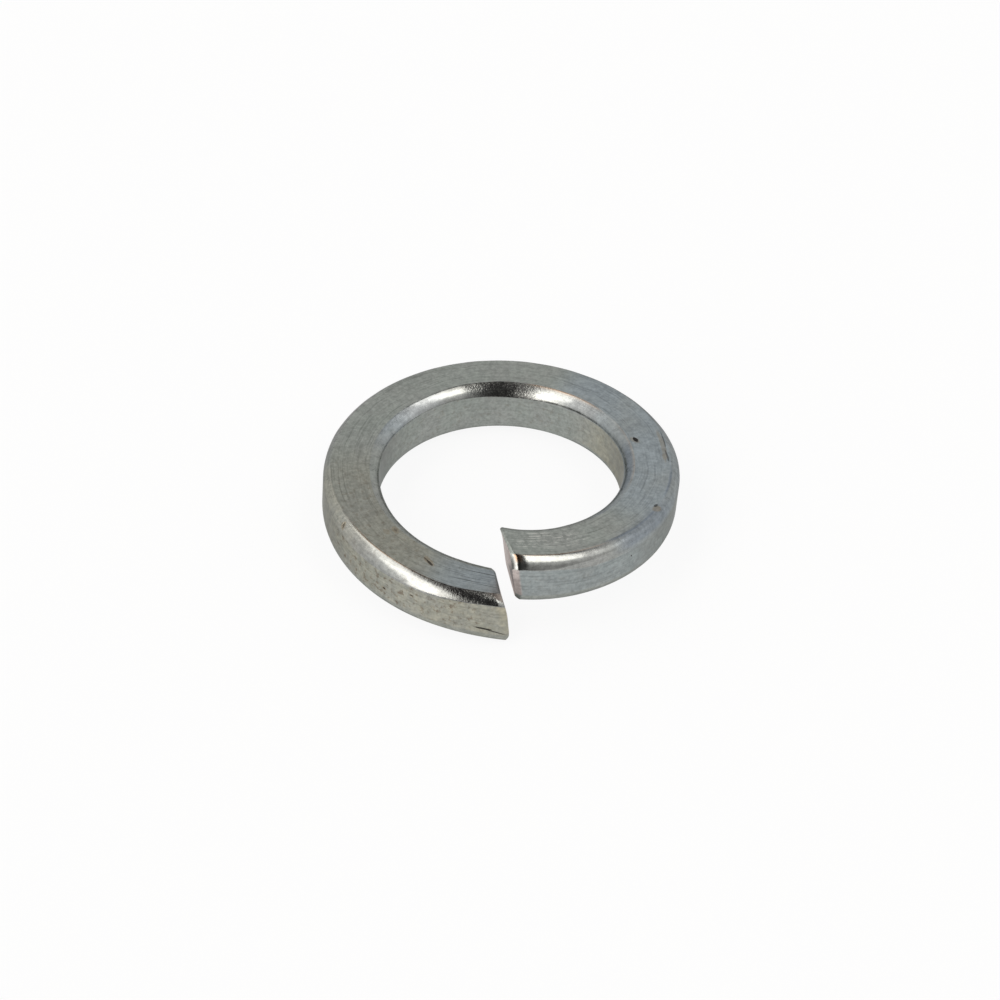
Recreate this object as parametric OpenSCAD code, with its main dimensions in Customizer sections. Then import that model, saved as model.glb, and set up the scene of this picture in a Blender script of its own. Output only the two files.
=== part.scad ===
// Spring lock washer: one turn of near-square wire, cut through and sprung
// into a left-hand helix, for a 24 mm screw with a right-hand thread.
// The bore axis is +Z, and the origin lies on it at half the free height.
// The slit faces -Y, with its high end on the +X side.

/* [Ring] */
// Diameter of the bore
bore_d = 24.6; // [22:0.1:27]
// Width of the wire, from the bore to the outside
wire_w = 5.65; // [4.5:0.05:7]
// Thickness of the wire along the axis
thickness = 5.2; // [4:0.05:6]
// Free height, from the lowest edge to the highest
free_height = 10.65; // [8:0.05:12]
// How far each end is turned out of the helix, up or down
end_turn = 0.25; // [0:0.05:0.5]
// Length of wire that is turned out at each end
end_turn_length = 6; // [3:0.5:12]

/* [Rounded edges] */
// Width of the round on the top outer edge
top_outer_w = 1.1; // [0.5:0.05:1.5]
// Height of the round on the top outer edge
top_outer_h = 1.05; // [0.5:0.05:1.5]
// Width of the round on the top inner edge
top_inner_w = 1.15; // [0.5:0.05:1.5]
// Height of the round on the top inner edge
top_inner_h = 1.05; // [0.5:0.05:1.5]
// Width of the round on the bottom outer edge
bottom_outer_w = 0.9; // [0.4:0.05:1.3]
// Height of the round on the bottom outer edge
bottom_outer_h = 1.0; // [0.4:0.05:1.3]
// Width of the round on the bottom inner edge
bottom_inner_w = 0.3; // [0.2:0.05:1]
// Height of the round on the bottom inner edge
bottom_inner_h = 0.6; // [0.2:0.05:1]
// Bulge of each round past the bevel that joins its two ends, as a share
round_bulge = 0.14; // [0.02:0.01:0.18]

/* [Slit] */
// Direction of the slit's middle around the axis, degrees from +X
slit_angle = -85.2; // [-95:0.1:-75]
// Width of the slit at the middle of the wire
slit_w = 0.4; // [0.3:0.05:1]
// Lean of the high end's cut across the wire, degrees from the radius
high_lean_across = 11; // [0:0.5:14]
// Lean of the high end's cut down the wire, degrees from the axis
high_lean_down = 12.5; // [6:0.5:15]
// Lean of the low end's cut across the wire, degrees from the radius
low_lean_across = 11.5; // [0:0.5:14]
// Lean of the low end's cut down the wire, degrees from the axis
low_lean_down = 7.5; // [0:0.5:10]
// Width of the worn bevel around each cut face
cut_bevel = 0.4; // [0.1:0.05:0.5]

/* [Hidden] */
RING_STEPS = 144;
ROUND_STEPS = 4;
// The wire's walls stand this far outside the ring's own, and true cylinders
// cut them back
WALL_EXTRA = 0.05;
CYLINDER_FN = 180;

bore_r = bore_d / 2;
outer_r = bore_r + wire_w;
mean_r = (bore_r + outer_r) / 2;
rise = free_height - thickness - 2 * end_turn;
half_slit_angle = slit_w / 2 / mean_r * 180 / PI;
high_angle = slit_angle + half_slit_angle;
low_angle = slit_angle + 360 - half_slit_angle;

// Height that an end adds at this angle from it: nothing past its turned-out
// length, and growing with the square of the length from there to the end
function turned_out(angle) =
    let (share = 1 - angle * PI / 180 * mean_r / end_turn_length)
    end_turn * pow(max(0, share), 2);

// Height of the wire's centre line at an angle around the axis
function helix_z(angle) =
    rise * (0.5 - (angle - high_angle) / (low_angle - high_angle))
    + turned_out(angle - high_angle) - turned_out(low_angle - angle);

// A round of width w and height h, from where it leaves the flat (t = 0) to
// where it meets the wall (t = 1), as [distance from wall, distance from flat].
// It is flatter than a quarter of an ellipse, so it leaves a crease at both ends.
function round_point(w, h, t) =
    let (bulge = 4 * round_bulge * t * (1 - t))
    [w * (1 - t - bulge), h * (t - bulge)];

// The same round as a list of points, with the last one carried on in a
// straight line until it is WALL_EXTRA past the wall
function round_points(w, h) =
    let (
        before = round_point(w, h, 1 - 1 / ROUND_STEPS),
        carried = 1 + WALL_EXTRA / before[0]
    )
    concat(
        [for (i = [0:ROUND_STEPS - 1]) round_point(w, h, i / ROUND_STEPS)],
        [[-WALL_EXTRA, before[1] + (h - before[1]) * carried]]
    );

function reversed(list) = [for (i = [len(list) - 1:-1:0]) list[i]];

// The wire's section as [distance from the axis, height above its middle],
// clockwise from the top inner round. inset draws every side that much smaller.
function section(inset) =
    let (
        inner = bore_r + inset,
        outer = outer_r - inset,
        flat = thickness / 2 - inset
    )
    concat(
        [for (p = reversed(round_points(top_inner_w, top_inner_h))) [inner + p[0], flat - p[1]]],
        [for (p = round_points(top_outer_w, top_outer_h)) [outer - p[0], flat - p[1]]],
        [for (p = reversed(round_points(bottom_outer_w, bottom_outer_h))) [outer - p[0], p[1] - flat]],
        [for (p = round_points(bottom_inner_w, bottom_inner_h)) [inner + p[0], p[1] - flat]]
    );

// How far round, in degrees, a cut plane lies from its end's own angle, at a
// radius r and a height z above the wire's middle. The plane leans by the
// slopes across and down, and is moved by shift along the wire.
function cut_offset(r, z, across, down, shift) =
    atan(across) + asin((shift - down * z - across * mean_r) / (r * sqrt(1 + across * across)));

function high_cut(p, shift) =
    high_angle + cut_offset(p[0], p[1], tan(high_lean_across), tan(high_lean_down), shift);

function low_cut(p, shift) =
    low_angle + cut_offset(p[0], p[1], tan(low_lean_across), tan(low_lean_down), shift);

// A point of the section, carried to an angle around the axis
function swept(p, angle) = [p[0] * cos(angle), p[0] * sin(angle), p[1] + helix_z(angle)];

// The sprung wire with a worn bevel round each cut face
module helical_wire() {
    full = section(0);
    worn = section(cut_bevel);
    m = len(full);
    points = concat(
        [for (p = worn) swept(p, high_cut(p, 0))],
        [for (i = [0:RING_STEPS], p = full)
            let (
                from = high_cut(p, cut_bevel),
                to = low_cut(p, -cut_bevel)
            )
            swept(p, from + (to - from) * i / RING_STEPS)],
        [for (p = worn) swept(p, low_cut(p, 0))]
    );
    last = len(points) - m;
    sides = [for (start = [0:m:last - m], j = [0:m - 1])
        let (a = start + j, d = start + (j + 1) % m)
        each [[a, a + m, d + m], [a, d + m, d]]];
    caps = [for (j = [1:m - 2]) each [[0, j, j + 1], [last, last + j + 1, last + j]]];
    polyhedron(points = points, faces = concat(sides, caps), convexity = 6);
}

module lock_washer() {
    color([0.56, 0.57, 0.55]) difference() {
        intersection() {
            helical_wire();
            cylinder(r = outer_r, h = 2 * free_height, center = true, $fn = CYLINDER_FN);
        }
        cylinder(r = bore_r, h = 2 * free_height, center = true, $fn = CYLINDER_FN);
    }
}

lock_washer();
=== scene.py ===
import math
from functools import reduce
from types import SimpleNamespace

import bpy
import numpy as np
from bpy.props import FloatProperty, FloatVectorProperty, PointerProperty
from mathutils import Matrix, Vector


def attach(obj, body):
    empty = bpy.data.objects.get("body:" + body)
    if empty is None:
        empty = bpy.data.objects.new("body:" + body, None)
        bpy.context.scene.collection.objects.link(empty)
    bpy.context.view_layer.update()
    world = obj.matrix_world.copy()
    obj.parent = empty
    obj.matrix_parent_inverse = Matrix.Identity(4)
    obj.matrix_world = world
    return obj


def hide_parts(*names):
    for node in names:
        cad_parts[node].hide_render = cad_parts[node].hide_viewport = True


bl_info = {
    "name": "Spring Lock Washer",
    "version": (1, 0, 0),
    "blender": (4, 5, 0),
    "location": "View3D > Sidebar > Washer",
    "description": "Makes a split spring washer of worn zinc-plated wire and the plain studio it stands in",
    "category": "Add Mesh",
}

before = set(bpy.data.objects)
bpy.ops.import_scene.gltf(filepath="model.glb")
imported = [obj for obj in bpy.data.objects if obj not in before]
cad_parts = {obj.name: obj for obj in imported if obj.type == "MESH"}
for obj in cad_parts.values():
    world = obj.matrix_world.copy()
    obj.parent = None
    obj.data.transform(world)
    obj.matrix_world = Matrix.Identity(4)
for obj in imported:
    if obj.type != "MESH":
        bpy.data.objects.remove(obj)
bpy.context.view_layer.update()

MM = 0.001

# The zones of the wire's section, clockwise from the inner end of the top
# flat, with the number of points that each one gets
ZONES = (
    ("top_flat", 22),
    ("top_outer", 14),
    ("outer_wall", 18),
    ("bottom_outer", 9),
    ("bottom_flat", 10),
    ("bottom_inner", 6),
    ("inner_wall", 14),
    ("top_inner", 13),
)
ZONE = {name: index for index, (name, _) in enumerate(ZONES)}

# Rows along the wire, then the rows of each cut face as shares of the way from its
# middle to its rim, and the rows of its bevel as shares of the way over it
RING_ROWS = 800
FACE_PARTS = (0.1, 0.3, 0.5, 0.7, 0.85, 0.94, 0.985)
BEVEL_PARTS = (0, 0.06, 0.18, 0.34, 0.5, 0.66, 0.82, 0.94)
FACE_ROWS = len(FACE_PARTS)
END_ROWS = FACE_ROWS + len(BEVEL_PARTS)
# Bulges of the bottom outer round and of the worn bevels, as shares of the rounds' own
BOTTOM_OUTER_BULGE = 1.7
BEVEL_BULGE = 0.5
# Directions, in degrees, between which the low end's top outer side rises
LIFT_START, LIFT_END = 250, 275
# Shares of the roll-off that draw the high end's outer edge inwards and down, and how
# far in from the outside it reaches, in widths of the top outer round
ROLL_IN, ROLL_DOWN = 0.6, 0.8
ROLL_REACH = 2.2
# Degrees each way over which the rounds' changes are blurred, and the size, number
# and phase of the fine waves on them
BLUR_DEGREES = 4
WAVES = ((0.008, 23, 1.3), (0.006, 41, 0.4))
# Points over which the bevels' sizes are blurred
BLUR_POINTS = 9


# Properties


def length_property(name, text, millimetres, highest=60):
    """A length in metres, given in millimetres."""
    return FloatProperty(
        name=name,
        description=text,
        default=millimetres * MM,
        min=0.01 * MM,
        max=highest * MM,
        precision=5,
        unit="LENGTH",
    )


def angle_property(name, text, degrees):
    """An angle, given in degrees."""
    return FloatProperty(
        name=name,
        description=text,
        default=math.radians(degrees),
        subtype="ANGLE",
        unit="ROTATION",
    )


def share_property(name, text, value, highest=1.0):
    """A plain share of one."""
    return FloatProperty(
        name=name,
        description=text,
        default=value,
        min=0.0,
        max=highest,
        subtype="FACTOR",
    )


def colour_property(name, text, colour):
    """A linear colour, given as it is seen, in 0 to 255."""
    return FloatVectorProperty(
        name=name,
        description=text,
        default=tuple(seen_to_linear(c) for c in colour),
        min=0.0,
        max=1.0,
        size=3,
        subtype="COLOR",
    )


def seen_to_linear(value):
    """A screen value from 0 to 255 as linear light from 0 to 1."""
    share = value / 255
    if share <= 0.04045:
        return share / 12.92
    return ((share + 0.055) / 1.055) ** 2.4


class WasherSizes(bpy.types.PropertyGroup):
    """Sizes of the washer"""

    bore_d: length_property("Bore", "Diameter of the bore", 24.6)
    wire_w: length_property("Wire width", "Width of the wire's section", 5.65)
    thickness: length_property("Thickness", "Thickness of the wire along the axis", 5.2)
    free_height: length_property("Free height", "Height from the lowest edge to the highest", 10.65)
    end_turn: length_property("End turn", "How far each end is turned out of the helix", 0.25)
    end_turn_length: length_property("End turn length", "Length of wire turned out at each end", 6.0)
    top_outer_w: length_property("Top outer width", "Width of the top outer round", 1.1)
    top_outer_h: length_property("Top outer height", "Height of the top outer round", 1.05)
    top_inner_w: length_property("Top inner width", "Width of the top inner round", 1.15)
    top_inner_h: length_property("Top inner height", "Height of the top inner round", 1.05)
    bottom_outer_w: length_property("Bottom outer width", "Width of the bottom outer round", 0.9)
    bottom_outer_h: length_property("Bottom outer height", "Height of the bottom outer round", 1.0)
    bottom_inner_w: length_property("Bottom inner width", "Width of the bottom inner round", 0.3)
    bottom_inner_h: length_property("Bottom inner height", "Height of the bottom inner round", 0.6)
    round_bulge: share_property("Bulge", "Bulge of each round past the bevel that joins its two ends", 0.14)
    tip_lift: length_property("Tip lift", "How far the low end's top outer side is lifted", 0.22)
    slit_angle: angle_property("Slit direction", "Direction of the slit's middle around the axis", -85.1)
    slit_w: length_property("Slit width", "Width of the slit at the middle of the wire", 0.25)
    high_lean_across: angle_property("High lean across", "Lean of the high end's cut across the wire", 8.3)
    roll_off: length_property("Roll-off", "How far the high end's top outer edge is drawn down", 0.09)
    roll_length: length_property("Roll-off length", "Length of wire over which it is drawn down", 0.78)
    high_lean_down: angle_property("High lean down", "Lean of the high end's cut down the wire", 9.5)
    high_twist: angle_property("High twist", "How much more that cut leans across at its top", 7.7)
    low_lean_across: angle_property("Low lean across", "Lean of the low end's cut across the wire", 11.5)
    low_lean_down: angle_property("Low lean down", "Lean of the low end's cut down the wire", 8.2)
    low_twist: angle_property("Low twist", "How much more that cut leans across at its top", -3.0)
    low_curl: length_property("Low curl", "How far the low end's cut curves back at its top", 0.16)
    cut_bevel: length_property("Cut bevel", "Width of the worn bevel around each cut face", 0.4)
    crease: length_property("Crease", "How far each crease is rubbed round on both sides", 0.03)


class WasherFinish(bpy.types.PropertyGroup):
    """Colours and wear of the zinc"""

    zinc: colour_property("Zinc", "Plain colour of the zinc", (150, 153, 149))
    blue: colour_property("Blue zinc", "Zinc where its clear film looks blue", (149, 157, 161))
    green: colour_property("Green zinc", "Zinc where its clear film looks green", (149, 154, 149))
    olive: colour_property("Olive zinc", "Dull zinc with an olive cast", (150, 149, 138))
    straw: colour_property("Straw zinc", "Zinc with a yellowish stain", (170, 165, 147))
    rust: colour_property("Brown specks", "Colour of the brown specks", (92, 66, 40))
    burnished: colour_property("Burnished zinc", "Colour of the rounded edges", (151, 150, 148))
    slate: colour_property("Slate line", "Blue-grey film along the right side's crease", (94, 105, 122))
    tan: colour_property("Tan stains", "Colour of the stains around pits", (140, 128, 108))
    rim: colour_property("Warm rim", "Colour of the worn creases", (166, 132, 100))
    # This colour also paints the dark reflections and shade on the rounds and on the high end's bevel.
    soot_and_painted_dark: colour_property("Dark lines", "Colour of the dark draw lines, pits and scratches", (34, 32, 32))
    cut: colour_property("Cut face", "Colour of the two cut faces", (230, 216, 210))
    flat_roughness: share_property("Flat roughness", "Roughness of the flats and walls", 0.36)
    round_roughness: share_property("Round roughness", "Roughness of the rounded edges", 0.16)


class WasherStudio(bpy.types.PropertyGroup):
    """Light, floor and camera"""

    floor: colour_property("Floor", "Colour of the floor", (252, 252, 252))
    surround: share_property("Surround", "Strength of the pale surround in the metal", 1.0, 4.0)
    dark_gap: share_property("Dark gap", "Strength of the dark gap around the camera", 0.1, 1.0)
    left_light: share_property("Left light", "Strength of the long light on the left", 2.7, 20.0)
    right_light: share_property("Right light", "Strength of the long light on the right", 2.7, 20.0)
    camera_distance: length_property("Camera distance", "Distance to the bore's middle", 281.64, 2000)
    camera_elevation: angle_property("Camera elevation", "Angle of the view down onto the washer", 39.709)
    camera_roll: angle_property("Camera roll", "Turn of the camera about its own view", 4.887)


# Geometry


def smooth(value, start, end):
    """0 before start, 1 after end, and 3t^2 - 2t^3 between, with t the share of the way."""
    t = np.clip((value - start) / (end - start), 0, 1)
    return t * t * (3 - 2 * t)


def hump(value, start, top_start, top_end, end):
    """Rises from start to top_start, stays 1 to top_end and falls to 0 at end."""
    return smooth(value, start, top_start) * (1 - smooth(value, top_end, end))


def shares(count, edge):
    """Evenly spaced shares between 0 and 1, and two more by each end: edge and three
    times edge away from it."""
    inside = np.linspace(0, 1, count - 2)[1:-1]
    return np.r_[edge, 3 * edge, inside, 1 - 3 * edge, 1 - edge]


def round_edge(w, h, bulge, t):
    """A round of width w and height h as [distance from wall, distance from flat] at
    share t of its way: the bevel w(1-t), ht pushed out by 4*bulge*t(1-t) of w and h."""
    push = 4 * bulge * t * (1 - t)
    return w * (1 - t - push), h * (t - push)


# How the width and height of the two top rounds change round the ring, as shares
# of the washer's own sizes at some angles: rolling and cutting left them uneven
ROUND_CHANGES = {
    "outer_w": (
        (-85, 1.07), (-60, 1.05), (-45, 1.0), (-30, 0.89), (-10, 0.89), (5, 0.86), (20, 0.8), (60, 0.77),
        (120, 0.76), (165, 0.7), (185, 0.62), (200, 0.78), (215, 1.02), (240, 1.05), (250, 0.96), (258, 0.86),
        (264, 0.9), (269, 0.98), (275, 1.04),
    ),
    "outer_h": (
        (-85, 0.98), (-75, 0.98), (-70, 1.05), (-64, 1.28), (-58, 1.38), (-30, 1.3), (0, 1.0), (20, 0.88),
        (165, 0.9), (185, 1.2), (212, 1.28), (235, 1.17), (246, 1.14), (252, 1.06), (257, 0.94), (261, 0.84),
        (265, 0.74), (269, 0.69), (275, 0.66),
    ),
    "outer_bulge": (
        (-85, 0.8), (-75, 0.9), (-67, 1.4), (-60, 1.75), (-15, 1.6), (10, 0.4), (170, 0.5), (188, 1.7),
        (215, 1.7), (228, 1.3), (240, 1.0), (275, 1.0),
    ),
    "inner_w": (
        (-85, 0.96), (0, 0.9), (28, 0.92), (60, 1.0), (80, 0.98), (95, 1.08), (110, 1.09), (125, 0.96),
        (136, 0.9), (146, 1.02), (162, 1.04), (175, 0.94), (190, 0.84), (275, 0.96),
    ),
    "inner_h": (
        (-85, 1.0), (-30, 1.03), (0, 0.92), (15, 0.88), (40, 1.0), (60, 1.1), (78, 1.2), (95, 1.12),
        (110, 0.95), (122, 0.8), (135, 0.85), (150, 0.9), (165, 0.65), (180, 0.52), (230, 0.8), (275, 0.95),
    ),
    "inner_bulge": (
        (-85, 1.1), (10, 1.1), (40, 1.0), (55, 1.2), (72, 1.2), (90, 0.9), (110, 0.7), (140, 0.7),
        (170, 1.0), (195, 1.1), (275, 1.1),
    ),
}


def changed(name, angle):
    """The change at each angle: straight between the given angles, then blurred by the
    mean of the values at whole degrees around it, with a trace of fine waviness."""
    at, share = np.transpose(ROUND_CHANGES[name])
    steps = range(-BLUR_DEGREES, BLUR_DEGREES + 1)
    change = sum(np.interp(angle + step, at, share) for step in steps) / len(steps)
    for size, count, phase in WAVES:
        change = change + size * np.sin(count * np.radians(angle) + phase)
    return change


def edge_sizes(s, angle):
    """Width, height and bulge of the outer and the inner top round at each angle, in degrees."""
    outer = s.top_outer_w * changed("outer_w", angle), s.top_outer_h * changed("outer_h", angle)
    inner = s.top_inner_w * changed("inner_w", angle), s.top_inner_h * changed("inner_h", angle)
    bulges = [s.round_bulge * changed(name, angle) for name in ("outer_bulge", "inner_bulge")]
    return (*outer, bulges[0]), (*inner, bulges[1])


def wire_section(s, angle):
    """The wire's section at each angle as arrays of rows by points: distance from the
    axis, height above the wire's middle, and the zone of each point. Straight sides run
    between the rounds, and each zone's points crowd to its creases. Near the low end the
    top's outer side is lifted, as the shears left it."""
    inner = s.bore_d / 2
    outer = inner + s.wire_w
    top = s.thickness / 2
    (ow, oh, ob), (iw, ih, ib) = edge_sizes(s, angle[:, None])
    full = np.ones((len(angle), 1))
    bow, boh = s.bottom_outer_w * full, s.bottom_outer_h * full
    biw, bih = s.bottom_inner_w * full, s.bottom_inner_h * full
    count = dict(ZONES)
    radii, heights = [], []

    def side(name, r0, z0, r1, z1):
        length = np.hypot(np.mean(r1 - r0), np.mean(z1 - z0))
        t = shares(count[name], s.crease / length)[None, :]
        radii.append(r0 + t * (r1 - r0))
        heights.append(z0 + t * (z1 - z0))

    def corner(name, w, h, bulge, inside, low, backwards):
        length = np.hypot(np.mean(w), np.mean(h))
        t = shares(count[name], s.crease / length)[None, :]
        if backwards:
            t = t[:, ::-1]
        x, y = round_edge(w, h, bulge, t)
        radii.append(inner + x if inside else outer - x)
        heights.append(y - top if low else top - y)

    side("top_flat", inner + iw, top * full, outer - ow, top * full)
    corner("top_outer", ow, oh, ob, False, False, False)
    side("outer_wall", outer * full, top - oh, outer * full, boh - top)
    corner("bottom_outer", bow, boh, BOTTOM_OUTER_BULGE * s.round_bulge, False, True, True)
    side("bottom_flat", outer - bow, -top * full, inner + biw, -top * full)
    corner("bottom_inner", biw, bih, s.round_bulge, True, True, False)
    side("inner_wall", inner * full, bih - top, inner * full, top - ih)
    corner("top_inner", iw, ih, ib, True, False, True)
    zone = np.concatenate([np.full(n, ZONE[name]) for name, n in ZONES])
    r, z = np.hstack(radii), np.hstack(heights)
    lift = s.tip_lift * smooth(angle, LIFT_START, LIFT_END)[:, None]
    return r, z + lift * smooth((r - inner) / s.wire_w, 0.1, 1) * smooth(z, 0, top), zone


def mean_radius(s):
    """Radius of the wire's middle."""
    return (s.bore_d + s.wire_w) / 2


def helix_height(s, angle, high, low):
    """Height of the wire's middle: a straight fall from the high end to the low end, with
    each end turned out by end_turn times the square of the share of its turned length."""

    def turned(away):
        share = 1 - np.radians(away) * mean_radius(s) / s.end_turn_length
        return s.end_turn * np.maximum(0, share) ** 2

    rise = s.free_height - s.thickness - 2 * s.end_turn
    return rise * (0.5 - (angle - high) / (low - high)) + turned(angle - high) - turned(low - angle)


def cut_offset(s, r, z, lean, shift):
    """Degrees from an end's own angle to its cut at radius r and height z: a plane that
    leans across and down the wire and is moved by shift along it. By the cube of the
    height's share, its lean across grows by the twist and it curves back by the curl."""
    across, down, twist, curl = lean
    share = (np.maximum(0, z) / (s.thickness / 2)) ** 3
    across = across + twist * share
    slope = np.tan(across)
    moved = shift - math.tan(down) * z - curl * share - slope * mean_radius(s)
    return np.degrees(across + np.arcsin(moved / (r * np.hypot(1, slope))))


# The worn bevel around each cut face, by zone: its length along the wire at the
# zone's first and last point, then its depth there, as shares of the cut bevel
HIGH_BEVEL = {
    "top_flat": (0.5, 0.9, 0.25, 0.5),
    "top_outer": (1.5, 1.4, 0.8, 0.7),
    "outer_wall": (1.5, 1.6, 0.5, 0.6),
    "bottom_outer": (1.2, 0.8, 0.6, 0.6),
    "bottom_flat": (0.6, 0.6, 0.4, 0.4),
    "bottom_inner": (0.8, 0.8, 0.5, 0.5),
    "inner_wall": (0.8, 0.8, 0.5, 0.5),
    "top_inner": (0.8, 0.7, 0.5, 0.4),
}
LOW_BEVEL = {
    "top_flat": (0.5, 0.5, 0.25, 0.2),
    "top_outer": (1.4, 1.6, 0.3, 0.35),
    "outer_wall": (1.5, 1.2, 0.35, 0.4),
    "bottom_outer": (1.2, 1.0, 0.9, 0.8),
    "bottom_flat": (0.8, 0.8, 0.5, 0.5),
    "bottom_inner": (0.8, 0.8, 0.5, 0.5),
    "inner_wall": (0.8, 0.9, 0.5, 0.6),
    "top_inner": (0.8, 0.8, 0.6, 0.5),
}


def bevel_size(s, table, zone, share):
    """Length and depth of a worn bevel at each point of the section: straight along each
    zone between the table's values, then blurred over neighbouring points."""
    out = np.zeros((2, len(zone)))
    for name, (l0, l1, d0, d1) in table.items():
        at = zone == ZONE[name]
        out[0, at] = l0 + (l1 - l0) * share[at]
        out[1, at] = d0 + (d1 - d0) * share[at]
    kernel = np.hanning(BLUR_POINTS) / np.hanning(BLUR_POINTS).sum()
    over = BLUR_POINTS // 2
    wrapped = [np.r_[row[-over:], row, row[:over]] for row in out]
    return s.cut_bevel * np.array([np.convolve(row, kernel, "valid") for row in wrapped])


def end_rows(s, r, z, lean, from_angle, sign, bevel):
    """The rows of one end as radius, height and angle: the section (r, z) is inset by the
    bevel's depth and drawn in towards its middle on the cut, then grows out over the
    bevel as over the wire's rounds. The sign is that of the way into the wire."""
    length, depth = bevel
    mean = mean_radius(s)
    steps = [(part, depth, 0 * depth) for part in FACE_PARTS]
    steps += [(1.0, *round_edge(depth, length, BEVEL_BULGE * s.round_bulge, t)) for t in BEVEL_PARTS]
    rows = []
    for drawn, inset, shift in steps:
        r1 = mean + (r - mean) * (1 - inset / (s.wire_w / 2)) * drawn
        z1 = z * (1 - inset / (s.thickness / 2)) * drawn
        rows.append((r1, z1, from_angle + cut_offset(s, r1, z1, lean, sign * shift)))
    return np.array(rows).transpose(1, 0, 2)


def roll_off(s, r, z, away):
    """Draws the outer edge down near the high end, as the shears did: by the square of the
    share of the roll-off's length that is left, at away radians from the cut."""
    rolled = s.roll_off * np.maximum(0, 1 - away * mean_radius(s) / s.roll_length) ** 2
    outer = mean_radius(s) + s.wire_w / 2
    rolled = rolled * smooth(r, outer - ROLL_REACH * s.top_outer_w, outer - s.top_outer_w)
    rolled = rolled * smooth(z, 0, s.thickness / 3)
    return r - ROLL_IN * rolled, z - ROLL_DOWN * rolled


def washer_grid(s):
    """The whole washer as a grid of rows by section points, with each point's zone, its
    share of the way over the zone, its angle, radius and height above the wire's middle.
    The full section is swept round the helix from cut to cut, between the ends' rows."""
    half = math.degrees(s.slit_w / 2 / mean_radius(s))
    slit = math.degrees(s.slit_angle)
    high, low = slit + half, slit + 360 - half
    u = np.linspace(0, 1, RING_ROWS)
    r, z, zone = wire_section(s, high + (low - high) * u)
    share = np.concatenate([(np.arange(n) + 0.5) / n for _, n in ZONES])
    high_bevel = bevel_size(s, HIGH_BEVEL, zone, share)
    low_bevel = bevel_size(s, LOW_BEVEL, zone, share)
    high_lean = s.high_lean_across, s.high_lean_down, s.high_twist, 0.0
    low_lean = s.low_lean_across, s.low_lean_down, s.low_twist, s.low_curl
    start = high + cut_offset(s, r, z, high_lean, high_bevel[0])
    end = low + cut_offset(s, r, z, low_lean, -low_bevel[0])
    angle = start + (end - start) * u[:, None]
    r, z = roll_off(s, r, z, np.radians(angle - start))
    first = end_rows(s, r[0], z[0], high_lean, high, 1, high_bevel)
    last = end_rows(s, r[-1], z[-1], low_lean, low, -1, low_bevel)[:, ::-1]
    r, z, angle = (np.vstack(rows) for rows in zip(first, (r, z, angle), last))
    a = np.radians(angle)
    place = np.stack([r * np.cos(a), r * np.sin(a), z + helix_height(s, angle, high, low)], -1)
    return place, zone, share, angle, r, z


def section_lengths(r, z):
    """Millimetres round a section from its first point to each of its points, and in all."""
    around = np.r_[0, np.cumsum(np.hypot(np.diff(r), np.diff(z)))] / MM
    return around, around[-1] + math.hypot(r[0] - r[-1], z[0] - z[-1]) / MM


def grid_faces(points, rows, cols):
    """The four-sided faces of a grid that is closed round its columns, and the triangles
    that join each end to its middle point, which follow the grid's own points. Faces
    point outwards, where the sum of their signed volumes is positive. Also tells which
    faces close the grid."""
    i, j = np.meshgrid(np.arange(rows - 1), np.arange(cols), indexing="ij")
    i, j = i.ravel(), j.ravel()
    k = (j + 1) % cols
    quads = np.stack([i * cols + j, i * cols + k, (i + 1) * cols + k, (i + 1) * cols + j], -1)
    columns = np.arange(cols)
    following = (columns + 1) % cols
    base = (rows - 1) * cols
    first = np.stack([np.full(cols, rows * cols), following, columns], -1)
    last = np.stack([np.full(cols, rows * cols + 1), base + columns, base + following], -1)
    fans = np.vstack([first, last])
    a, b, c, d = (points[quads[:, corner]] for corner in range(4))
    if np.einsum("ij,ij->i", a, np.cross(b + c, c + d)).sum() < 0:
        quads, fans = quads[:, ::-1], fans[:, ::-1]
    return quads, fans, j == cols - 1


def grid_mesh(name, place, along, around, total):
    """Joins a grid that is closed round its columns into a mesh, with a point in the middle
    of each end. Its map "wire" holds millimetres along the wire and round its section."""
    rows, cols = place.shape[:2]
    points = np.vstack([place.reshape(-1, 3), place[0].mean(0), place[-1].mean(0)])
    quads, fans, closing = grid_faces(points, rows, cols)
    loops = np.r_[quads.ravel(), fans.ravel()]
    sizes = np.r_[np.full(len(quads), 4), np.full(len(fans), 3)]
    mesh = bpy.data.meshes.new(name)
    mesh.vertices.add(len(points))
    mesh.vertices.foreach_set("co", points.ravel())
    mesh.loops.add(len(loops))
    mesh.loops.foreach_set("vertex_index", loops)
    mesh.polygons.add(len(sizes))
    mesh.polygons.foreach_set("loop_start", np.r_[0, np.cumsum(sizes)[:-1]])
    mesh.update(calc_edges=True)
    u = np.r_[along.ravel(), along[0].mean(), along[-1].mean()][loops]
    v = np.r_[np.tile(around, rows), around.mean(), around.mean()][loops]
    wraps = np.r_[np.repeat(closing, 4), np.zeros(fans.size, bool)]
    v[wraps & (v < total / 2)] += total
    layer = mesh.uv_layers.new(name="wire")
    layer.data.foreach_set("uv", np.stack([u, v], -1).ravel())
    mesh.polygons.foreach_set("use_smooth", np.ones(len(sizes), bool))
    mesh.validate()
    mesh.update()
    return mesh


def add_mask(mesh, name, values):
    """Adds one number a vertex as an attribute that the material reads. The middle points
    of the two ends get the first point's number."""
    values = np.ravel(values)
    missing = len(mesh.vertices) - len(values)
    values = np.r_[values, np.full(missing, values[0])].astype(np.float32)
    mesh.attributes.new(name, "FLOAT", "POINT").data.foreach_set("value", values)


def most(*values):
    """The greatest of several arrays at each place."""
    return reduce(np.maximum, values)


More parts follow.
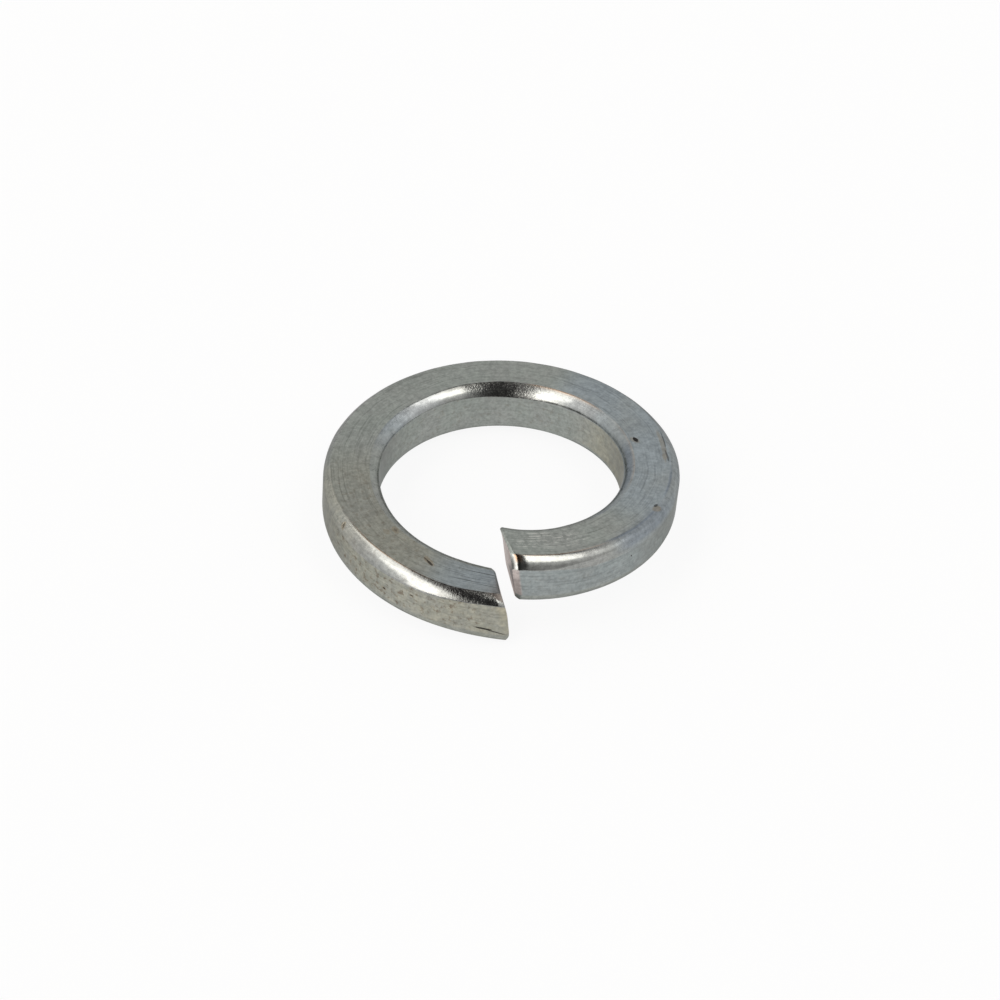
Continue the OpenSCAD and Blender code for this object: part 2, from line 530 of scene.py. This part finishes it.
class RingMasks:
    """Smooth masks over the ring, mostly from 0 to 1, by the direction round it, the zone,
    the share of the way over the zone, and the row along the wire."""

    def __init__(self, zone, share, angle):
        self.zone, self.share, self.angle = zone, share[None, :], angle
        self.row = np.arange(len(angle))[:, None]
        self.from_low = len(angle) - 1 - self.row
        self.from_end = np.minimum(self.row, self.from_low)
        self.full = self.from_end >= END_ROWS
        self.flat = self.on("top_flat")
        self.outer = self.on("outer_wall")
        self.inner = self.on("inner_wall")
        self.top_outer = self.on("top_outer")
        self.top_inner = self.on("top_inner")
        self.rounds = self.top_outer + self.top_inner
        self.bottom_outer = self.on("bottom_outer")
        self.bare_wall = self.outer * (1 - smooth(self.row, END_ROWS - 1, END_ROWS + 1)) * 0.85

    def on(self, name):
        """1 on a zone."""
        return (self.zone == ZONE[name])[None, :] * 1.0

    def turn(self, *degrees):
        """A hump over directions round the ring."""
        return hump(self.angle, *degrees)

    def before(self, start, end):
        """1 before the direction start, falling to 0 at end."""
        return 1 - smooth(self.angle, start, end)

    def after(self, start, end):
        """Rises to 1 between two directions."""
        return smooth(self.angle, start, end)

    def over(self, start, end):
        """Rises from 0 to 1 over a part of the way across each zone."""
        return smooth(self.share, start, end)

    def part(self, start, end):
        """A hump over a part of each zone, with soft edges of a tenth."""
        return hump(self.share, start, start + 0.1, end - 0.1, end)

    def film(self):
        """Tints and stains of the zinc's clear film."""
        blue = most(
            self.flat * most(self.turn(-45, -20, 58, 75), self.after(235, 262)),
            self.outer * self.before(-50, 0) * 0.5,
            self.rounds * self.turn(-52, -40, 50, 70) * 0.8,
            self.top_inner * self.turn(118, 128, 160, 175),
        )
        olive = most(
            self.flat * self.turn(165, 195, 235, 258) * 0.9,
            self.outer * self.turn(165, 185, 220, 245) * 0.2,
            self.inner * self.before(30, 60) * 0.1,
        )
        by_low = 1 - smooth(self.from_low, END_ROWS, END_ROWS + 10)
        on_wall = most(self.after(205, 250) * 0.65, self.turn(160, 180, 225, 250) * 0.45, by_low)
        straw = most(
            (self.outer + 0.5 * self.bottom_outer) * on_wall,
            self.top_outer * self.turn(178, 190, 218, 232) * 0.5,
            self.inner * self.before(35, 60) * 0.55,
        )
        brown = most(
            (self.outer + 0.2 * self.top_outer) * self.turn(190, 215, 262, 276),
            self.flat * self.turn(170, 200, 235, 255) * 0.5,
            self.inner * 0.35,
            self.outer * 0.2,
        )
        return {"blue": blue, "olive": olive, "straw": straw, "brown": brown}

    def surface(self):
        """Burnished rounds, bare metal at the cuts, draw lines, scuffs and bright specks."""
        dull = most(
            self.top_outer * most(self.turn(-55, -40, 60, 80), self.turn(150, 180, 205, 224)),
            self.top_inner * most(self.before(35, 50), self.after(135, 155)),
        )
        burnished = self.rounds * (self.from_end > FACE_ROWS) * (1 - 0.75 * dull)
        face = 1 - smooth(self.from_end, FACE_ROWS - 1, FACE_ROWS + 2)
        narrow_face = 1 - smooth(self.from_end, FACE_ROWS - 2, FACE_ROWS)
        face = np.where(self.top_outer > 0, narrow_face, face)
        drawn = most(
            self.flat * most(self.after(238, 262), 0.25 + 0.2 * self.turn(-90, -80, -60, -40)),
            self.outer * 0.15,
        )
        return {
            "round": burnished,
            "cut": most(face, self.bare_wall),
            "drawn": drawn * self.full,
            "scuff": self.flat * self.turn(-86, -80, -62, -50) * self.part(0.05, 0.75),
            "sparkle": self.top_inner * self.turn(68, 80, 102, 112) + self.top_outer * self.after(248, 264),
        }

    def creases(self):
        """Warm rims where the creases are worn, and the slate film along the right side's crease."""
        first = self.top_outer * (1 - self.over(0.02, 0.16))
        last = self.top_inner * self.over(0.68, 0.92)
        corner = hump(self.row, FACE_ROWS + 4, FACE_ROWS + 6, END_ROWS + 1, END_ROWS + 4)
        rim = most(
            first * most(self.turn(205, 222, 245, 256), self.turn(-84, -76, -60, -45)),
            last * self.turn(40, 52, 76, 84),
            last * self.turn(-20, -5, 25, 40) * 0.35,
            self.top_outer * corner * (1 - self.over(0.3, 0.6)) * 1.5,
        )
        thin = self.top_outer * (1 - self.over(0.06, 0.24)) + self.flat * self.over(0.86, 0.97)
        slate = most(
            thin * most(self.turn(-56, -46, -28, -18) * 0.6, self.turn(-20, -12, -5, 4) * 0.5),
            self.top_outer * self.turn(-52, -42, -28, -12) * self.part(-0.1, 0.8) * 0.4,
            self.flat * self.turn(-50, -40, -28, -20) * self.over(0.7, 0.9) * 0.25,
            self.top_inner * self.turn(-25, -10, 10, 22) * self.part(0.35, 0.85) * 0.4,
        )
        return {"rim": rim, "slate": slate}

    def painted_dark_and_grime(self):
        """Painted dark reflection and shade on the high end's bevel and beside it, darker towards the bottom
        of its bare wall, and on the black patches of the low end's round and the back's inner round, where
        the dark gap by the camera is mirrored; also darker along the outer round at the back.
        """
        bevel = hump(self.row, FACE_ROWS - 1, FACE_ROWS + 1, END_ROWS - 1, END_ROWS + 2)
        near_face = 1 - smooth(self.row, FACE_ROWS + 3, FACE_ROWS + 6)
        beside = (self.row >= END_ROWS) * (1 - smooth(self.row, END_ROWS, END_ROWS + 3))
        painted_dark_and_grime = most(
            # painted dark reflection on the high end's bevel, and painted shade that grows darker towards the
            # bottom of its bare wall
            bevel * (self.outer * self.over(0.0, 0.4) * 0.45 + self.bottom_outer * 0.55),
            self.bare_wall * (0.35 + 0.35 * self.over(0.0, 0.7)),
            # painted shade on the lower part of the high end's top outer bevel
            bevel * near_face * self.top_outer * self.over(0.1, 0.6) * 0.7,
            # darker along the top outer round at the back
            self.top_outer * self.turn(20, 35, 100, 118) * 0.38,
            # painted dark reflection beside the high end, and painted reflections of the dark gap by the
            # camera on the low end's round and the back's inner round
            self.top_outer * beside * 0.8,
            self.top_outer * self.turn(249, 261, 280, 290) * self.full * 0.6,
            self.top_inner * self.turn(74, 83, 96, 104) * 0.6,
        )
        return {"painted_dark_and_grime": painted_dark_and_grime}

    def by_name(self):
        """Every mask by the name that the material reads it by."""
        return self.film() | self.surface() | self.creases() | self.painted_dark_and_grime()


# Materials

# Places of the stains and of the pits and scratches on the wire: degrees round the ring,
# millimetres round the section, degrees of turn, half length and half width in
# millimetres, and strength
STAINS = (
    (-23.9, 3.55, 20, 0.50, 0.34, 0.5),
    (18.2, 0.5, -25, 0.62, 0.34, 0.4),
    (244.6, 1.40, 24, 0.85, 0.34, 0.6),
    (211.5, 4.18, 60, 0.34, 0.26, 0.6),
    (223.8, 0.42, 10, 0.60, 0.36, 0.5),
    (222.5, 1.30, 5, 0.50, 0.30, 0.3),
    (12.5, 3.05, 2, 2.60, 0.24, 0.4),
    (6.5, 2.95, 0, 0.55, 0.26, 0.5),
    (234.3, 6.87, 0, 0.30, 0.26, 0.5),
    (244.7, 5.85, 0, 0.26, 0.22, 0.4),
)
MARKS = (
    (18.4, 0.62, -5, 0.48, 0.2, 1.0),
    (-22.5, 3.30, 20, 0.26, 0.17, 0.75),
    (243.0, 1.30, 15, 0.30, 0.10, 0.6),
    (245.4, 1.56, 24, 0.50, 0.15, 0.85),
    (211.5, 4.18, 60, 0.20, 0.11, 0.6),
    (223.8, 0.36, 10, 0.30, 0.15, 0.35),
    (234.3, 6.87, 0, 0.16, 0.14, 0.85),
    (244.7, 5.85, 0, 0.16, 0.12, 0.7),
    (-42.0, 5.75, 70, 0.16, 0.07, 0.8),
    (268.6, 7.52, 3, 0.75, 0.10, 0.95),
    (272.4, 7.74, 11, 1.00, 0.06, 0.85),
    (16.0, 3.35, 4, 1.30, 0.07, 0.6),
    (7.0, 3.22, -6, 1.00, 0.10, 0.6),
)

# Height that one unit of the relief stands for
RELIEF = 0.009 * MM
SCUFF_COLOUR = (0.75, 0.74, 0.7)


class Nodes:
    """A short way to write a node tree: each call adds its nodes and links their inputs."""

    def __init__(self, tree):
        self.tree = tree
        tree.nodes.clear()

    def add(self, kind, inputs=(), **settings):
        node = self.tree.nodes.new(kind)
        for key, value in settings.items():
            setattr(node, key, value)
        for key, value in dict(inputs).items():
            if isinstance(value, bpy.types.NodeSocket):
                self.tree.links.new(value, node.inputs[key])
            else:
                node.inputs[key].default_value = value
        return node

    def math(self, operation, a, b=0.0, clamp=False):
        return self.add("ShaderNodeMath", {0: a, 1: b}, operation=operation, use_clamp=clamp).outputs[0]

    def times(self, *values):
        return reduce(lambda a, b: self.math("MULTIPLY", a, b), values)

    def multiply_add(self, a, b, c):
        return self.add("ShaderNodeMath", {0: a, 1: b, 2: c}, operation="MULTIPLY_ADD").outputs[0]

    def degrees(self, radians):
        return self.math("MULTIPLY", radians, 180 / math.pi)

    def ramp(self, value, start, end, low=0.0, high=1.0):
        node = self.add(
            "ShaderNodeMapRange",
            {"Value": value, "From Min": start, "From Max": end, "To Min": low, "To Max": high},
            interpolation_type="SMOOTHSTEP",
        )
        return node.outputs["Result"]

    def vector(self, operation, a, b):
        return self.add("ShaderNodeVectorMath", {0: a, 1: b}, operation=operation).outputs["Vector"]

    def scaled(self, vector, by):
        return self.add("ShaderNodeVectorMath", {0: vector, 3: by}, operation="SCALE").outputs["Vector"]

    def noise(self, vector, scale, detail=2.0, roughness=0.5):
        inputs = {"Vector": vector, "Scale": scale, "Detail": detail, "Roughness": roughness}
        return self.add("ShaderNodeTexNoise", inputs).outputs["Fac"]

    def mix(self, share, a, b):
        a, b = (c if isinstance(c, bpy.types.NodeSocket) else (*c, 1) for c in (a, b))
        return self.add("ShaderNodeMix", {0: share, 6: a, 7: b}, data_type="RGBA").outputs[2]

    def mask(self, name):
        return self.add("ShaderNodeAttribute", attribute_name=name).outputs["Fac"]


def mark_group():
    """A node group for one pit, scratch or stain on the wire: 1 inside an ellipse whose rim
    is made ragged by noise, and 0 outside. Its place, turn and size are in millimetres on
    the map that runs along the wire and round its section."""
    group = bpy.data.node_groups.new("mark on the wire", "ShaderNodeTree")
    n = Nodes(group)
    for name in ("Wire", "Place", "Turn", "Size"):
        group.interface.new_socket(name, in_out="INPUT", socket_type="NodeSocketVector")
    group.interface.new_socket("Ragged", in_out="INPUT", socket_type="NodeSocketFloat")
    group.interface.new_socket("Mask", in_out="OUTPUT", socket_type="NodeSocketFloat")
    given = n.add("NodeGroupInput").outputs
    inputs = {
        "Vector": given["Wire"],
        "Location": given["Place"],
        "Rotation": given["Turn"],
        "Scale": given["Size"],
    }
    moved = n.add("ShaderNodeMapping", inputs, vector_type="TEXTURE").outputs[0]
    away = n.add("ShaderNodeVectorMath", {0: moved}, operation="LENGTH").outputs["Value"]
    ragged = n.multiply_add(given["Ragged"], 0.9, -0.45)
    inside = n.ramp(n.math("ADD", away, ragged), 1.15, 0.75)
    n.add("NodeGroupOutput", {"Mask": inside})
    return group


def wire_patterns(n):
    """The patterns that the zinc is made of: blotches and grain from coarse to fine, and
    the swaying lines that drawing left along the wire."""
    where = n.add("ShaderNodeTexCoord").outputs["Object"]
    wire = n.add("ShaderNodeUVMap", uv_map="wire").outputs["UV"]
    aside = n.multiply_add(n.noise(where, 350, 1), 0.5, -0.25)
    swayed = n.vector("ADD", wire, n.add("ShaderNodeCombineXYZ", {1: aside}).outputs[0])
    return SimpleNamespace(
        wire=wire,
        patch=n.noise(where, 90, 3, 0.5),
        blotch=n.noise(where, 230, 4, 0.55),
        grain=n.noise(where, 1500, 4, 0.6),
        speck=n.noise(where, 1900, 4, 0.7),
        ragged=n.noise(where, 2600, 3, 0.6),
        fine=n.noise(where, 3600, 3, 0.6),
        micro=n.noise(where, 6500, 2, 0.6),
        lines=n.noise(n.vector("MULTIPLY", swayed, (0.10, 4.6, 1)), 1.0, 4, 0.62),
        hair=n.noise(n.vector("MULTIPLY", swayed, (0.22, 12.0, 1)), 1.0, 2, 0.6),
    )


def film_colour(n, p, f):
    """Colour of the zinc under its clear film, which drifts from blue to olive and straw."""
    colour = n.mix(n.ramp(p.blotch, 0.35, 0.65), f.zinc, f.green)
    colour = n.mix(n.times(n.mask("blue"), n.ramp(p.blotch, 0.25, 0.6, 0.55, 1.0)), colour, f.blue)
    colour = n.mix(n.times(n.mask("olive"), n.ramp(p.patch, 0.3, 0.6, 0.5, 1.0)), colour, f.olive)
    stained = n.multiply_add(p.grain, 0.4, n.times(p.blotch, 0.6))
    colour = n.mix(n.times(n.mask("straw"), n.ramp(stained, 0.36, 0.62, 0.45, 1.0)), colour, f.straw)
    colour = n.mix(n.times(n.mask("round"), 0.6), colour, f.burnished)
    colour = n.mix(n.mask("slate"), colour, f.slate)
    return n.mix(n.mask("cut"), colour, f.cut)


def grained(n, p, f, colour):
    """The colour made darker and lighter by grain and lines, with dark draw lines and
    pale scuffs."""
    tone = n.times(
        n.ramp(p.grain, 0.3, 0.7, 0.86, 1.12),
        n.ramp(p.fine, 0.3, 0.7, 0.9, 1.1),
        n.ramp(p.patch, 0.3, 0.7, 0.95, 1.05),
        n.times(n.ramp(p.lines, 0.3, 0.7, 0.93, 1.06), n.ramp(p.hair, 0.3, 0.7, 0.95, 1.04)),
    )
    deep = n.times(n.ramp(p.lines, 0.47, 0.36), n.ramp(p.hair, 0.62, 0.42), n.mask("drawn"))
    shade = n.mix(n.times(deep, 0.8), n.scaled(colour, tone), f.soot_and_painted_dark)
    scuff = n.times(n.mask("scuff"), n.ramp(p.hair, 0.5, 0.66), n.ramp(p.grain, 0.4, 0.6))
    return n.mix(n.times(scuff, 0.8), shade, SCUFF_COLOUR)


def together(n, p, group, places, mean):
    """The strongest at each point of the marks in a table of places."""
    out = []
    for angle, around, turn, length, width, strength in places:
        inputs = {
            "Wire": p.wire,
            "Ragged": p.ragged,
            "Place": (math.radians(angle) * mean, around, 0),
            "Turn": (0, 0, math.radians(turn)),
            "Size": (length, width, 1),
        }
        mask = n.add("ShaderNodeGroup", inputs, node_tree=group).outputs["Mask"]
        out.append(n.times(mask, strength))
    return reduce(lambda a, b: n.math("MAXIMUM", a, b), out)


def worn(n, p, f, shade, stains, pits):
    """The shade with brown specks, warm rims along the creases, stains, painted dark reflection and shade
    that is broken by specks of the zinc's own colour, and dark pits."""
    brown = n.times(n.mask("brown"), n.ramp(p.speck, 0.52, 0.66))
    shade = n.mix(n.times(brown, 0.55), shade, f.rust)
    rim = n.times(n.mask("rim"), n.ramp(p.blotch, 0.3, 0.6, 0.5, 1.0))
    shade = n.mix(n.times(rim, 0.6), shade, f.rim)
    shade = n.mix(stains, shade, f.tan)
    # painted dark reflection and shade, with specks left out where the zinc's own colour shows
    rubbed = n.times(n.mask("sparkle"), n.ramp(p.micro, 0.48, 0.62, 0.0, 0.65))
    shade = n.mix(n.times(n.mask("painted_dark_and_grime"), n.math("SUBTRACT", 1.0, rubbed)), shade, f.soot_and_painted_dark)
    return n.mix(n.times(pits, 0.9), shade, f.soot_and_painted_dark)


def gloss(n, p, f, pits):
    """Roughness: the rounds were burnished by the rolls, the rest is satin, the pits dull."""
    satin = n.ramp(p.grain, 0.3, 0.7, f.flat_roughness - 0.05, f.flat_roughness + 0.05)
    bright = n.ramp(p.grain, 0.3, 0.7, f.round_roughness - 0.03, f.round_roughness + 0.05)
    inputs = {0: n.mask("round"), 2: satin, 3: bright}
    rough = n.add("ShaderNodeMix", inputs, data_type="FLOAT").outputs[0]
    return n.math("MAXIMUM", rough, n.times(pits, 0.7))


def relief(n, p, pits):
    """Bumps: orange peel, lines along the wire that are weaker on the rounds, fine
    sparkle, and sunk pits."""
    rounds = n.mask("round")
    peel = n.math("ADD", n.times(p.fine, 0.35), n.times(p.grain, 0.8))
    groove = n.times(n.math("ADD", p.lines, n.times(p.hair, 0.5)), 0.3)
    height = n.math("ADD", peel, n.times(groove, n.ramp(rounds, 0, 1, 1.0, 0.4)))
    sparkle = n.math("ADD", n.times(n.mask("sparkle"), 2.4), n.ramp(rounds, 0, 1, 0.3, 0.35))
    height = n.math("ADD", height, n.times(p.micro, sparkle))
    height = n.math("SUBTRACT", height, n.times(pits, 4.0))
    return n.add("ShaderNodeBump", {"Height": height, "Strength": 1.0, "Distance": RELIEF}).outputs[0]


def zinc_material(f, mean):
    """Worn zinc plate on a wire whose middle runs at the mean radius, in millimetres, with painted dark
    reflections and shade on parts of its rounds and on the high end's bevel.
    """
    material = bpy.data.materials.new("worn zinc plate")
    material.use_nodes = True
    n = Nodes(material.node_tree)
    p = wire_patterns(n)
    group = mark_group()
    pits = together(n, p, group, MARKS, mean)
    stains = together(n, p, group, STAINS, mean)
    shade = worn(n, p, f, grained(n, p, f, film_colour(n, p, f)), stains, pits)
    inputs = {"Base Color": shade, "Roughness": gloss(n, p, f, pits), "Normal": relief(n, p, pits)}
    shader = n.add("ShaderNodeBsdfPrincipled", inputs)
    shader.inputs["Metallic"].default_value = 1.0
    shader.inputs["Specular Tint"].default_value = (0.5, 0.5, 0.5, 1)
    n.add("ShaderNodeOutputMaterial", {"Surface": shader.outputs[0]})
    return material


# Ring


class WASHER_OT_ring(bpy.types.Operator):
    """Sweep the wire's section round the sprung helix, with both worn ends, and give it its zinc"""

    bl_idname = "washer.ring"
    bl_label = "Make the Ring"
    bl_options = {"REGISTER", "UNDO"}

    def execute(self, context):
        s = context.scene.washer_sizes
        place, zone, share, angle, r, z = washer_grid(s)
        mean = mean_radius(s) / MM
        middle = len(place) // 2
        around, total = section_lengths(r[middle], z[middle])
        mesh = grid_mesh("ring", place, np.radians(angle) * mean, around, total)
        for name, values in RingMasks(zone, share, angle).by_name().items():
            add_mask(mesh, name, values)
        ring = bpy.data.objects.new("ring", mesh)
        context.scene.collection.objects.link(ring)
        mesh.materials.append(zinc_material(context.scene.washer_finish, mean))
        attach(ring, "root")
        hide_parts("lock_washer")
        return {"FINISHED"}


# Stage

# The way up from the floor, and the floor's radius and number of sides
FLOOR_UP = (-0.039, -0.075, 1.0)
FLOOR_RADIUS = 1.5
FLOOR_SIDES = 96
# How much of the paper glows plain white to the camera and in the metal
GLOW_SEEN = 0.93
GLOW_MIRRORED = 0.9
# Lens and sensor in millimetres, and the picture's shift as shares of its width
CAMERA_LENS = 100.04
SENSOR_WIDTH = 36
CAMERA_SHIFT = (-0.00031, -0.01653)
# Colours of the lights and of the surround
WARM_LIGHT = (1, 0.965, 0.92)
COOL_SURROUND = (1, 0.995, 0.985)
# Level of the surround by its turn from the camera's side, in degrees to the right
SURROUND_LEVELS = (
    (-180, 0.75), (-135, 0.74), (-105, 0.88), (-75, 1.15), (-55, 1.3), (-12, 1.0), (14, 0.22), (24, 0.35),
    (34, 0.45), (46, 0.62), (65, 0.85), (90, 0.95), (108, 0.88), (130, 0.7), (180, 0.75),
)


def floor_plane(mesh):
    """The plane that the washer stands on: it touches the corner of the low end and the
    bottom edge opposite, so it leans by a few degrees. Gives its normal and its height."""
    normal = np.array(FLOOR_UP) / np.linalg.norm(FLOOR_UP)
    points = np.empty(len(mesh.vertices) * 3)
    mesh.vertices.foreach_get("co", points)
    return normal, (points.reshape(-1, 3) @ normal).min()


def floor_material(colour):
    """Pale paper: white to the camera and in the metal, with the washer's soft shadow."""
    material = bpy.data.materials.new("white paper")
    material.use_nodes = True
    n = Nodes(material.node_tree)
    path = n.add("ShaderNodeLightPath").outputs
    mirrored = n.math("ADD", path["Is Glossy Ray"], path["Is Transmission Ray"], clamp=True)
    paper = n.add("ShaderNodeBsdfDiffuse", {"Color": (*colour, 1)})
    glow = n.add("ShaderNodeEmission", {"Color": (*colour, 1), "Strength": 1.0})
    share = n.multiply_add(path["Is Camera Ray"], GLOW_SEEN, n.times(mirrored, GLOW_MIRRORED))
    both = n.add("ShaderNodeMixShader", {0: share, 1: paper.outputs[0], 2: glow.outputs[0]})
    n.add("ShaderNodeOutputMaterial", {"Surface": both.outputs[0]})
    return material


def surround_light(n, turn, height):
    """The pale surround by the turn from the camera's side and the height above the
    horizon, both in degrees: the levels of the table, higher up brighter, most on the right."""
    ramp = n.add("ShaderNodeValToRGB", {0: n.multiply_add(turn, 1 / 360, 0.5)})
    stops = ramp.color_ramp.elements
    while len(stops) < len(SURROUND_LEVELS):
        stops.new(0.5)
    for stop, (degrees, level) in zip(stops, SURROUND_LEVELS):
        stop.position = degrees / 360 + 0.5
        stop.color = (level, level, level, 1)
    on_right = n.times(n.ramp(turn, 20, 45), n.ramp(turn, 115, 90))
    more = n.multiply_add(n.ramp(height, 12, 48), n.multiply_add(on_right, 0.4, 0.2), 1.0)
    return n.times(ramp.outputs[0], more)


def studio_light(n, s):
    """A pale surround that the metal mirrors, with two long soft lights that pass overhead
    on the left and the right, and the dark gap between them where the camera stands. It is
    worked out from two angles of the direction: along, which is 0 overhead and 90 on the
    camera's horizon, and aside, from -90 on the left to 90 on the right."""
    direction = n.add("ShaderNodeTexCoord").outputs["Generated"]
    x, y, z = n.add("ShaderNodeSeparateXYZ", {0: direction}).outputs
    toward = n.times(y, -1.0)
    along = n.degrees(n.math("ARCTAN2", toward, z))
    aside = n.degrees(n.math("ARCSINE", x))

    def beyond(edge, soft):
        """1 where aside is right of the edge, blurred by soft degrees each way."""
        return n.ramp(n.math("SUBTRACT", aside, edge), -soft, soft)

    # The light on the left runs from just behind the top down to the camera's horizon
    left_in = n.math("ADD", n.ramp(along, -42, 20, -10, -22), n.ramp(along, 45, 78, 0, 4))
    left_out = n.ramp(along, -42, 30, -17, -46)
    left = n.math("SUBTRACT", beyond(left_out, 5), beyond(left_in, 4))
    left = n.times(left, n.times(n.ramp(along, -37, -25), n.ramp(along, 35, 55, 0.8, 1.15)))

    # The light on the right stops well above the horizon
    right_in = n.multiply_add(along, 0.3, 12.5)
    right_out = n.multiply_add(along, 0.5, 28.5)
    right = n.math("SUBTRACT", beyond(right_in, 2), beyond(right_out, 3))
    right = n.times(right, n.times(n.ramp(along, -26, -12), n.ramp(along, 31, 14)))

    # The dark gap lies between the left light and an edge of its own on the right
    turn = n.degrees(n.math("ARCTAN2", x, toward))
    surround = surround_light(n, turn, n.degrees(n.math("ARCSINE", z)))
    gap = n.math("SUBTRACT", beyond(left_in, 4), beyond(n.ramp(along, 20, 50, 15, 23), 3))
    gap = n.times(gap, n.ramp(along, -41, -33))
    surround = n.mix(gap, surround, (s.dark_gap,) * 3)
    lights = n.multiply_add(right, s.right_light, n.times(left, s.left_light))
    warm = n.scaled(WARM_LIGHT, lights)
    return n.vector("ADD", warm, n.scaled(COOL_SURROUND, n.times(surround, s.surround)))


def studio_world(s):
    """The studio's light. The camera itself sees plain white."""
    world = bpy.data.worlds.new("studio")
    world.use_nodes = True
    n = Nodes(world.node_tree)
    seen = n.add("ShaderNodeLightPath").outputs["Is Camera Ray"]
    studio = n.add("ShaderNodeBackground", {"Color": studio_light(n, s), "Strength": 1.0})
    white = n.add("ShaderNodeBackground", {"Color": (1, 1, 1, 1), "Strength": 1.0})
    both = n.add("ShaderNodeMixShader", {0: seen, 1: studio.outputs[0], 2: white.outputs[0]})
    n.add("ShaderNodeOutputWorld", {"Surface": both.outputs[0]})
    return world


class WASHER_OT_stage(bpy.types.Operator):
    """Lay the floor, set the studio's light and place the camera as in the photograph"""

    bl_idname = "washer.stage"
    bl_label = "Set the Stage"
    bl_options = {"REGISTER", "UNDO"}

    def execute(self, context):
        s = context.scene.washer_studio
        self.make_floor(context, s, bpy.data.objects["ring"])
        context.scene.world = studio_world(s)
        self.set_camera(context, s)
        context.scene.view_settings.view_transform = "Standard"
        return {"FINISHED"}

    def make_floor(self, context, s, ring):
        """A round sheet on the plane that the washer stands on."""
        normal, height = floor_plane(ring.data)
        side = np.cross(normal, [0, 1, 0])
        side /= np.linalg.norm(side)
        other = np.cross(normal, side)
        a = np.linspace(0, 2 * np.pi, FLOOR_SIDES + 1)[:-1, None]
        rim = FLOOR_RADIUS * (np.cos(a) * side - np.sin(a) * other) + normal * height
        points = np.vstack([normal * height, rim])
        faces = [(0, 1 + i, 1 + (i + 1) % FLOOR_SIDES) for i in range(FLOOR_SIDES)]
        mesh = bpy.data.meshes.new("floor")
        mesh.from_pydata(points.tolist(), [], faces)
        mesh.materials.append(floor_material(s.floor))
        floor = bpy.data.objects.new("floor", mesh)
        context.scene.collection.objects.link(floor)

    def set_camera(self, context, s):
        """The camera looks at the bore's middle from -Y, turned about its view by its roll."""
        e, roll = s.camera_elevation, s.camera_roll
        ahead = Vector((0, math.cos(e), -math.sin(e)))
        right = Vector((1, 0, 0))
        up = right.cross(ahead)
        across = math.cos(roll) * right + math.sin(roll) * up
        above = -math.sin(roll) * right + math.cos(roll) * up
        turn = Matrix((across, above, -ahead)).transposed()
        data = bpy.data.cameras.new("camera")
        data.lens = CAMERA_LENS
        data.sensor_width = SENSOR_WIDTH
        data.shift_x, data.shift_y = CAMERA_SHIFT
        data.clip_start = 0.01
        camera = bpy.data.objects.new("camera", data)
        camera.matrix_world = Matrix.Translation(-ahead * s.camera_distance) @ turn.to_4x4()
        context.scene.collection.objects.link(camera)
        context.scene.camera = camera


# Panel


class WASHER_PT_sidebar(bpy.types.Panel):
    """The washer's sizes, finish and stage"""

    bl_idname = "WASHER_PT_sidebar"
    bl_label = "Spring Lock Washer"
    bl_space_type = "VIEW_3D"
    bl_region_type = "UI"
    bl_category = "Washer"

    def draw(self, context):
        layout = self.layout
        for operator, group in (
            ("washer.ring", context.scene.washer_sizes),
            (None, context.scene.washer_finish),
            ("washer.stage", context.scene.washer_studio),
        ):
            box = layout.box()
            for name in group.__annotations__:
                box.prop(group, name)
            if operator:
                box.operator(operator)


CLASSES = (WasherSizes, WasherFinish, WasherStudio, WASHER_OT_ring, WASHER_OT_stage, WASHER_PT_sidebar)


def register():
    for cls in CLASSES:
        bpy.utils.register_class(cls)
    bpy.types.Scene.washer_sizes = PointerProperty(type=WasherSizes)
    bpy.types.Scene.washer_finish = PointerProperty(type=WasherFinish)
    bpy.types.Scene.washer_studio = PointerProperty(type=WasherStudio)


def unregister():
    del bpy.types.Scene.washer_studio
    del bpy.types.Scene.washer_finish
    del bpy.types.Scene.washer_sizes
    for cls in reversed(CLASSES):
        bpy.utils.unregister_class(cls)


def main():
    register()
    bpy.ops.washer.ring()
    bpy.ops.washer.stage()


if __name__ == "__main__":
    main()
